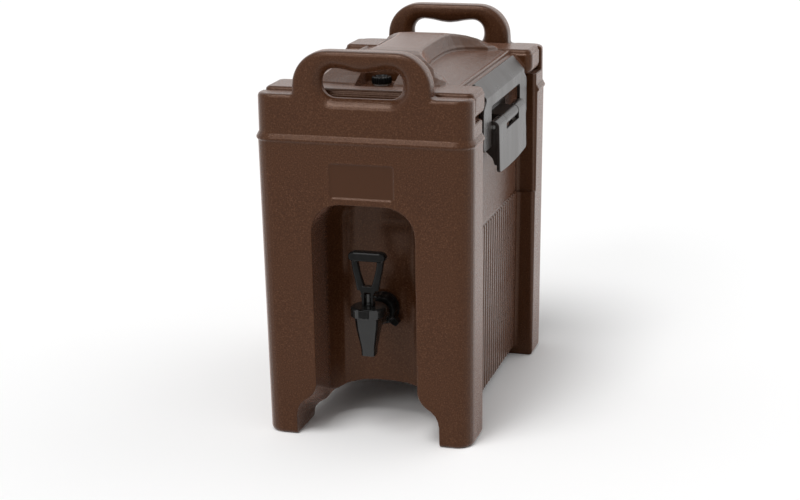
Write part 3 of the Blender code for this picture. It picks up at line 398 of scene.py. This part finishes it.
def soften(name, mesh, mat, cell, passes, limit, hold=None, grip=None, carve=None):
    """Skin a closed form with even cells, relax it so that its edges round over, thin it to limit triangles.

    hold gives the share of the relaxing that a point gets, so that fine ribs keep their depth.
    grip gives the share of a longer relaxing, which turns a square bar into a round one for the hand.
    carve moves points before either.
    """
    work = place(name + "_cells", mesh)
    cells = work.modifiers.new("cells", "REMESH")
    cells.mode = "VOXEL"
    cells.voxel_size = cell
    cells.adaptivity = 0.0
    mesh = baked(work)
    if carve is not None:
        carve(mesh)
    work = place(name + "_relax", mesh)
    relax = work.modifiers.new("relax", "SMOOTH")
    relax.factor = 0.5
    relax.iterations = passes
    if hold is not None:
        relax.vertex_group = share_group(work, "relax", hold)
    if grip is not None:
        rounding = work.modifiers.new("rounding", "SMOOTH")
        rounding.factor = 0.5
        rounding.iterations = GRIP_PASSES
        rounding.vertex_group = share_group(work, "rounding", grip)
    mesh = baked(work)
    triangles = 2 * len(mesh.polygons)
    if triangles > limit:
        work = place(name + "_thin", mesh)
        thin = work.modifiers.new("thin", "DECIMATE")
        thin.ratio = limit / triangles
        mesh = baked(work)
    mesh.shade_smooth()
    mesh.name = name
    return place(name, mesh, mat)


def settle(obj, body, slot_mat, *nodes):
    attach(obj, body)
    if nodes:
        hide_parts(*nodes)
    return obj


def skin(name, node, body, mat, cell, passes, limit, **zones):
    """A softened skin that stands for one CAD node and rides on its body."""
    settle(soften(name, closed_copy(node), mat, cell, passes, limit, **zones), body, mat, node)


# Repeats grown by node trees

def repeat_tree(name, sizes):
    """An empty node tree with named size inputs; sizes holds (name, socket type)."""
    tree = bpy.data.node_groups.new(name, "GeometryNodeTree")
    tree.interface.new_socket(name="Places", in_out="INPUT", socket_type="NodeSocketGeometry")
    for label, kind in sizes:
        tree.interface.new_socket(name=label, in_out="INPUT", socket_type=kind)
    tree.interface.new_socket(name="Pieces", in_out="OUTPUT", socket_type="NodeSocketGeometry")
    return tree, tree.nodes.new("NodeGroupInput"), tree.nodes.new("NodeGroupOutput")


def step(tree, kind, settings=None, **wires):
    """Add one node; settings are its own choices, wires are input sockets or plain values by socket name."""
    node = tree.nodes.new(kind)
    for key, value in (settings or {}).items():
        setattr(node, key, value)
    for key, value in wires.items():
        socket = node.inputs[key.replace("_", " ")]
        if isinstance(value, bpy.types.NodeSocket):
            tree.links.new(value, socket)
        else:
            socket.default_value = value
    return node


def finish_tree(tree, out, pieces, mat):
    solid = step(tree, "GeometryNodeRealizeInstances", Geometry=pieces)
    coloured = step(tree, "GeometryNodeSetMaterial", Geometry=solid.outputs["Geometry"], Material=mat)
    tree.links.new(coloured.outputs["Geometry"], out.inputs["Pieces"])


def grown(tree, name, places, sizes):
    """Run a repeat tree over a mesh of places and hand back the plain mesh that it makes."""
    work = place(name + "_places", places)
    grow = work.modifiers.new("grow", "NODES")
    grow.node_group = tree
    for item in tree.interface.items_tree:
        if item.in_out == "INPUT" and item.name in sizes:
            grow[item.identifier] = sizes[item.name]
    mesh = baked(work)
    mesh.name = name
    return mesh


def screw_tree(mat):
    """Pan-head screw with a cross recess and a rolled thread, set at each place along its aim."""
    tree, given, out = repeat_tree("bracket_screw_set", [
        ("Head Radius", "NodeSocketFloat"), ("Head Height", "NodeSocketFloat"),
        ("Shank Radius", "NodeSocketFloat"), ("Shank Length", "NodeSocketFloat"),
        ("Cross Width", "NodeSocketFloat")])
    size = given.outputs
    crown_share, thread_turns, thread_radius = 0.66, 9.0, 0.00018
    crown = step(tree, "ShaderNodeMath", {"operation": "MULTIPLY"})
    tree.links.new(size["Head Radius"], crown.inputs[0])
    crown.inputs[1].default_value = crown_share
    head = step(tree, "GeometryNodeMeshCone", Vertices=32, Side_Segments=3, Radius_Bottom=size["Head Radius"],
                Radius_Top=crown.outputs["Value"], Depth=size["Head Height"])
    shank = step(tree, "GeometryNodeMeshCylinder", Vertices=20, Radius=size["Shank Radius"],
                 Depth=size["Shank Length"])
    under = step(tree, "ShaderNodeMath", {"operation": "MULTIPLY"})
    tree.links.new(size["Shank Length"], under.inputs[0])
    under.inputs[1].default_value = -0.5
    drop = step(tree, "ShaderNodeCombineXYZ", Z=under.outputs["Value"])
    shank_low = step(tree, "GeometryNodeTransform", Geometry=shank.outputs["Mesh"],
                     Translation=drop.outputs["Vector"])
    arm_size = step(tree, "ShaderNodeCombineXYZ", X=size["Head Radius"], Y=size["Cross Width"],
                    Z=size["Head Height"])
    arm = step(tree, "GeometryNodeMeshCube", Size=arm_size.outputs["Vector"])
    lift = step(tree, "ShaderNodeCombineXYZ", Z=size["Head Height"])
    first = step(tree, "GeometryNodeTransform", Geometry=arm.outputs["Mesh"],
                 Translation=lift.outputs["Vector"])
    second = step(tree, "GeometryNodeTransform", Geometry=arm.outputs["Mesh"],
                  Translation=lift.outputs["Vector"], Rotation=(0.0, 0.0, math.radians(90.0)))
    recess = step(tree, "GeometryNodeMeshBoolean", {"operation": "DIFFERENCE", "solver": "EXACT"})
    tree.links.new(head.outputs["Mesh"], recess.inputs["Mesh 1"])
    tree.links.new(first.outputs["Geometry"], recess.inputs["Mesh 2"])
    tree.links.new(second.outputs["Geometry"], recess.inputs["Mesh 2"])
    coil = step(tree, "GeometryNodeCurveSpiral", Resolution=18, Rotations=thread_turns,
                Start_Radius=size["Shank Radius"], End_Radius=size["Shank Radius"],
                Height=size["Shank Length"])
    coil_low = step(tree, "ShaderNodeCombineXYZ")
    deep = step(tree, "ShaderNodeMath", {"operation": "MULTIPLY"})
    tree.links.new(size["Shank Length"], deep.inputs[0])
    deep.inputs[1].default_value = -1.0
    tree.links.new(deep.outputs["Value"], coil_low.inputs["Z"])
    coil_set = step(tree, "GeometryNodeTransform", Geometry=coil.outputs["Curve"],
                    Translation=coil_low.outputs["Vector"])
    ridge = step(tree, "GeometryNodeCurvePrimitiveCircle", Resolution=4, Radius=thread_radius)
    thread = step(tree, "GeometryNodeCurveToMesh", Curve=coil_set.outputs["Geometry"],
                  Profile_Curve=ridge.outputs["Curve"], Fill_Caps=True)
    whole = step(tree, "GeometryNodeJoinGeometry")
    for part in (thread.outputs["Mesh"], shank_low.outputs["Geometry"], recess.outputs["Mesh"]):
        tree.links.new(part, whole.inputs["Geometry"])
    aim = step(tree, "GeometryNodeInputNamedAttribute", {"data_type": "FLOAT_VECTOR"}, Name="aim")
    turn = step(tree, "FunctionNodeAlignRotationToVector", {"axis": "Z"}, Vector=aim.outputs["Attribute"])
    spread = step(tree, "GeometryNodeInstanceOnPoints", Points=size["Places"],
                  Instance=whole.outputs["Geometry"], Rotation=turn.outputs["Rotation"])
    finish_tree(tree, out, spread.outputs["Instances"], mat)
    return tree


def ridge_tree(mat):
    """Round-nosed grip ridges stood in a ring."""
    tree, given, out = repeat_tree("grip_ridge_ring", [
        ("Count", "NodeSocketInt"), ("Ring Radius", "NodeSocketFloat"), ("Ridge Radius", "NodeSocketFloat"),
        ("Ridge Length", "NodeSocketFloat")])
    size = given.outputs
    top = step(tree, "ShaderNodeCombineXYZ", Z=size["Ridge Length"])
    line = step(tree, "GeometryNodeCurvePrimitiveLine", End=top.outputs["Vector"])
    parts = step(tree, "GeometryNodeResampleCurve", Curve=line.outputs["Curve"], Count=7)
    share = step(tree, "GeometryNodeSplineParameter")
    nose = step(tree, "ShaderNodeFloatCurve", Value=share.outputs["Factor"])
    curve = nose.mapping.curves[0]
    curve.points[0].location = (0.0, 0.35)
    curve.points[1].location = (1.0, 0.25)
    curve.points.new(0.15, 0.95)
    curve.points.new(0.80, 1.0)
    nose.mapping.update()
    shaped = step(tree, "GeometryNodeSetCurveRadius", Curve=parts.outputs["Curve"],
                  Radius=nose.outputs["Value"])
    ring = step(tree, "GeometryNodeCurvePrimitiveCircle", Resolution=8, Radius=size["Ridge Radius"])
    ridge = step(tree, "GeometryNodeCurveToMesh", Curve=shaped.outputs["Curve"],
                 Profile_Curve=ring.outputs["Curve"], Scale=nose.outputs["Value"], Fill_Caps=True)
    places = step(tree, "GeometryNodeMeshCircle", Vertices=size["Count"], Radius=size["Ring Radius"])
    spread = step(tree, "GeometryNodeInstanceOnPoints", Points=places.outputs["Mesh"],
                  Instance=ridge.outputs["Mesh"])
    finish_tree(tree, out, spread.outputs["Instances"], mat)
    return tree


# Pieces of the dispenser

def beyond_slot(x, z):
    """How far a point of the handle's face lies outside the hand slot, whose grip side sags in the middle."""
    straight = SLOT_HALF - SLOT_CORNER
    middle = (SLOT_LOW + SLOT_HIGH) * 0.5
    if z > middle:
        z += SLOT_SAG * math.cos(0.5 * math.pi * min(1.0, abs(x) / straight)) ** 2
    out_x = abs(x) - straight
    out_z = abs(z - middle) - (SLOT_HIGH - SLOT_LOW) * 0.5 + SLOT_CORNER
    corner = math.hypot(max(out_x, 0.0), max(out_z, 0.0))
    return corner + min(max(out_x, out_z), 0.0) - SLOT_CORNER


def carve_slot_flares(mesh):
    """Sink the outer face of each handle in a rounded ring towards its hand slot."""
    faces = [vert.co.y for vert in mesh.vertices if vert.co.z > HANDLES_ONLY]
    outer = {-1.0: min(faces), 1.0: max(faces)}
    for vert in mesh.vertices:
        point = vert.co
        if point.z < FLARE_LOW or abs(point.x) > FLARE_HALF or abs(point.y) < FLARE_INNER:
            continue
        away = beyond_slot(point.x, point.z)
        if 0.0 <= away < FLARE_WIDTH:
            end = math.copysign(1.0, point.y)
            sunk = abs(outer[end]) - FLARE_DEPTH * (1.0 - away / FLARE_WIDTH) ** FLARE_ROUND
            if abs(point.y) > sunk:
                point.y = end * sunk


def build_shells():
    panel_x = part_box("body")[1].x - PANEL_SET_IN

    def body_hold(point):
        """Ribs, the label border and the bead keep their edges; the big corners relax fully."""
        at_panel = panel_x - PANEL_IN < abs(point.x) < panel_x + PANEL_OUT
        if at_panel and point.z < RIB_TOP and abs(point.y) < RIB_REACH:
            return RIB_SHARE
        if point.y < LABEL_FRONT and abs(point.x) < LABEL_HALF and LABEL_LOW < point.z < LABEL_HIGH:
            return LABEL_SHARE
        return BEAD_SHARE if abs(point.z - BEAD_Z) < BEAD_NEAR else 1.0

    def grip_share(point):
        """The two handle loops are moulded round, and so are the niche's back corners.

        The share fades out towards the wall below the loops, the niche's edges and the hole for the shank.
        """
        aside = abs(point.x)
        deep_in = NICHE_MOUTH < point.y < NICHE_BACK and NICHE_LOW < point.z < NICHE_HIGH
        if deep_in and aside < NICHE_NEAR:
            fade = min((point.y - NICHE_MOUTH) / NICHE_FADE, (point.z - NICHE_LOW) / NICHE_FADE,
                       (NICHE_HIGH - point.z) / NICHE_TOP_FADE, (aside - SHANK_CLEAR) / SHANK_FADE)
        elif aside > LOOP_HALF or abs(point.y) < LOOP_INNER:
            return 0.0
        else:
            fade = (point.z - LOOP_FOOT) / LOOP_FADE
        return round(min(1.0, max(0.0, fade)), 1)

    skin("body_shell", "body", "base", SHELL, 0.0011, 3, 190000, hold=body_hold, grip=grip_share,
         carve=carve_slot_flares)
    skin("lid_shell", "lid", "lid_body", SHELL, 0.0009, 4, 120000)


def build_latches():
    for side, _ in SIDES:
        skin("latch_seat_" + side, "latch_bracket_" + side, "base", NYLON, 0.0005, 3, 30000)
        skin("latch_paddle_" + side, "latch_lever_" + side, "lever_body_" + side, NYLON, 0.0005, 3, 50000)
        skin("latch_hoop_" + side, "latch_bail_" + side, "bail_body_" + side, NYLON, 0.0005, 3, 50000)


def build_screws():
    """The four bracket screws, seen from outside as cross-recessed pan heads."""
    sizes = {"Head Radius": 0.0046, "Head Height": 0.0022, "Shank Radius": 0.0022, "Shank Length": 0.0185,
             "Cross Width": 0.0011}
    places = bpy.data.meshes.new("screw_places")
    spots = []
    aims = []
    names = []
    for side, sign in SIDES:
        for end in ("front", "rear"):
            name = "bracket_screw_%s_%s" % (side, end)
            low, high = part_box(name)
            mid = (low + high) * 0.5
            head_x = (high.x if sign > 0.0 else low.x) - sign * sizes["Head Height"]
            spots.append((head_x, mid.y, mid.z))
            aims += [sign, 0.0, 0.0]
            names.append(name)
    places.from_pydata(spots, [], [])
    places.attributes.new("aim", "FLOAT_VECTOR", "POINT").data.foreach_set("vector", aims)
    mesh = grown(screw_tree(STEEL), "bracket_screws", places, sizes)
    settle(place("bracket_screws", mesh), "base", STEEL, *names)


def build_vent_knob():
    """The vent cap and the grip ridges round it."""
    skin("vent_knob", "vent_cap", "vent", GLOSS_PAINTED_SHADE, 0.0004, 2, 40000)
    low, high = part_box("vent_cap")
    mid = (low + high) * 0.5
    set_in, below_top = 0.0006, 0.0086
    sizes = {"Count": 24, "Ring Radius": (high.x - low.x) * 0.5 - set_in, "Ridge Radius": 0.0007,
             "Ridge Length": 0.0072}
    mesh = grown(ridge_tree(GLOSS_PAINTED_SHADE), "vent_knob_ridges", bpy.data.meshes.new("ridge_places"), sizes)
    mesh.transform(Matrix.Translation((mid.x, mid.y, high.z - below_top)))
    mesh.shade_smooth()
    settle(place("vent_knob_ridges", mesh), "vent", GLOSS_PAINTED_SHADE)


def build_spigot():
    skin("spout", "spigot_body", "base", GLOSS, 0.0004, 6, 40000)
    bonnet = soften("spout_bonnet", closed_copy("spigot_bonnet"), GLOSS, 0.0004, 6, 30000)
    bonnet.data.materials.append(GLOSS_PAINTED_SHADE)
    low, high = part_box("spigot_bonnet")
    # The bonnet's front tongue takes the dimmed gloss: painted shade.
    tongue_half, tongue_deep, tongue_tall = 0.0066, 0.0024, 0.0104
    for face in bonnet.data.polygons:
        spot = face.center
        if abs(spot.x) < tongue_half and spot.y < low.y + tongue_deep and spot.z > high.z - tongue_tall:
            face.material_index = 1
    settle(bonnet, "base", GLOSS, "spigot_bonnet")
    skin("shank_nut", "wing_nut", "base", GLOSS_PAINTED_SHADE, 0.0004, 5, 40000)

    def loop_hold(point):
        """The loop is drawn round for the fingers; the fork at the pin keeps its faces."""
        return round(min(1.0, max(FORK_SHARE, (point.z - FORK_TOP) / FORK_FADE)), 2)

    skin("pull_loop", "spigot_handle", "pull_handle", GLOSS_PAINTED_SHADE, 0.0004, 34, 40000, hold=loop_hold)


def dress_kept_nodes():
    """CAD pieces whose shape is right keep it and get their finish."""
    seals = ("lid_gasket", "vent_seal", "seat_cup", "outer_washer", "inner_washer")
    pins = []
    for side, _ in SIDES:
        pins += ["lever_pin_" + side, "bail_pin_%s_front" % side, "bail_pin_%s_rear" % side]
    dark = ("shank", "valve_stem")
    dressed = ((seals, SILICONE), (pins, STEEL), (dark, GLOSS), (("handle_pin",), DARK_STEEL))
    for names, mat in dressed:
        for name in names:
            node = frame["nodes"][name]
            node.data.materials.clear()
            node.data.materials.append(mat)


# Studio

def build_floor():
    bm = bmesh.new()
    rings = []
    for s in FLOOR_RINGS:
        rings.append([bm.verts.new((x, y, FLOOR_Z)) for x, y in ((-s, -s), (s, -s), (s, s), (-s, s))])
    bm.faces.new(rings[0])
    for i in range(4):
        j = (i + 1) % 4
        bm.faces.new((rings[0][i], rings[1][i], rings[1][j], rings[0][j]))
    bmesh.ops.recalc_face_normals(bm, faces=bm.faces[:])
    mesh = bpy.data.meshes.new("studio_floor")
    bm.to_mesh(mesh)
    bm.free()
    mat, _, shader = finish_nodes("pale_floor")
    shader.inputs["Base Color"].default_value = (0.96, 0.96, 0.96, 1.0)
    shader.inputs["Roughness"].default_value = 0.9
    shader.inputs["Specular IOR Level"].default_value = 0.0
    place("studio_floor", mesh, mat)


def build_world():
    world = bpy.data.worlds.new("studio")
    bpy.context.scene.world = world
    world.use_nodes = True
    tree = world.node_tree
    tree.nodes.clear()
    out = tree.nodes.new("ShaderNodeOutputWorld")
    mix = tree.nodes.new("ShaderNodeMixShader")
    path = tree.nodes.new("ShaderNodeLightPath")
    seen = path.outputs["Is Camera Ray"]
    for word in ("Is Glossy Ray", "Is Transmission Ray"):
        either = tree.nodes.new("ShaderNodeMath")
        either.operation = "MAXIMUM"
        link(tree, seen, either.inputs[0])
        link(tree, path.outputs[word], either.inputs[1])
        seen = either.outputs["Value"]
    for slot, strength in ((1, SKY_ON_THINGS), (2, SKY_SEEN)):
        sky = tree.nodes.new("ShaderNodeBackground")
        sky.inputs["Color"].default_value = (1.0, 1.0, 1.0, 1.0)
        sky.inputs["Strength"].default_value = strength
        link(tree, sky.outputs["Background"], mix.inputs[slot])
    link(tree, seen, mix.inputs["Fac"])
    link(tree, mix.outputs["Shader"], out.inputs["Surface"])


def far_lamp(name, source, strength, spread):
    """A wide soft lamp so far off that it lights the floor evenly."""
    lamp = bpy.data.lights.new(name, "SUN")
    lamp.energy = strength
    lamp.angle = math.radians(spread)
    obj = bpy.data.objects.new(name, lamp)
    bpy.context.scene.collection.objects.link(obj)
    obj.rotation_mode = "QUATERNION"
    obj.rotation_quaternion = (-Vector(source)).to_track_quat("-Z", "Y")
    return obj


def build_lights():
    far_lamp("overhead_lamp", (-0.16, -0.38, 0.91), 1.45, 28.0)
    far_lamp("key_lamp", (-0.27, -0.80, 0.53), 0.50, 22.0)
    far_lamp("right_lamp", (0.66, 0.50, 0.56), 0.38, 50.0)


def build_camera():
    data = bpy.data.cameras.new("photo_camera")
    data.sensor_fit = "HORIZONTAL"
    data.sensor_width = 36.0
    data.lens = CAMERA_LENS
    cam = bpy.data.objects.new("photo_camera", data)
    bpy.context.scene.collection.objects.link(cam)
    level = (CAMERA_AIM - CAMERA_STAND).to_track_quat("-Z", "Y")
    turn = level @ Quaternion((0.0, 0.0, 1.0), math.radians(CAMERA_ROLL))
    cam.matrix_world = Matrix.Translation(CAMERA_STAND) @ turn.to_matrix().to_4x4()
    bpy.context.scene.camera = cam


bpy.context.scene.view_settings.view_transform = "Standard"
build_shells()
build_latches()
build_screws()
build_spigot()
build_vent_knob()
dress_kept_nodes()
build_floor()
build_world()
build_lights()
build_camera()
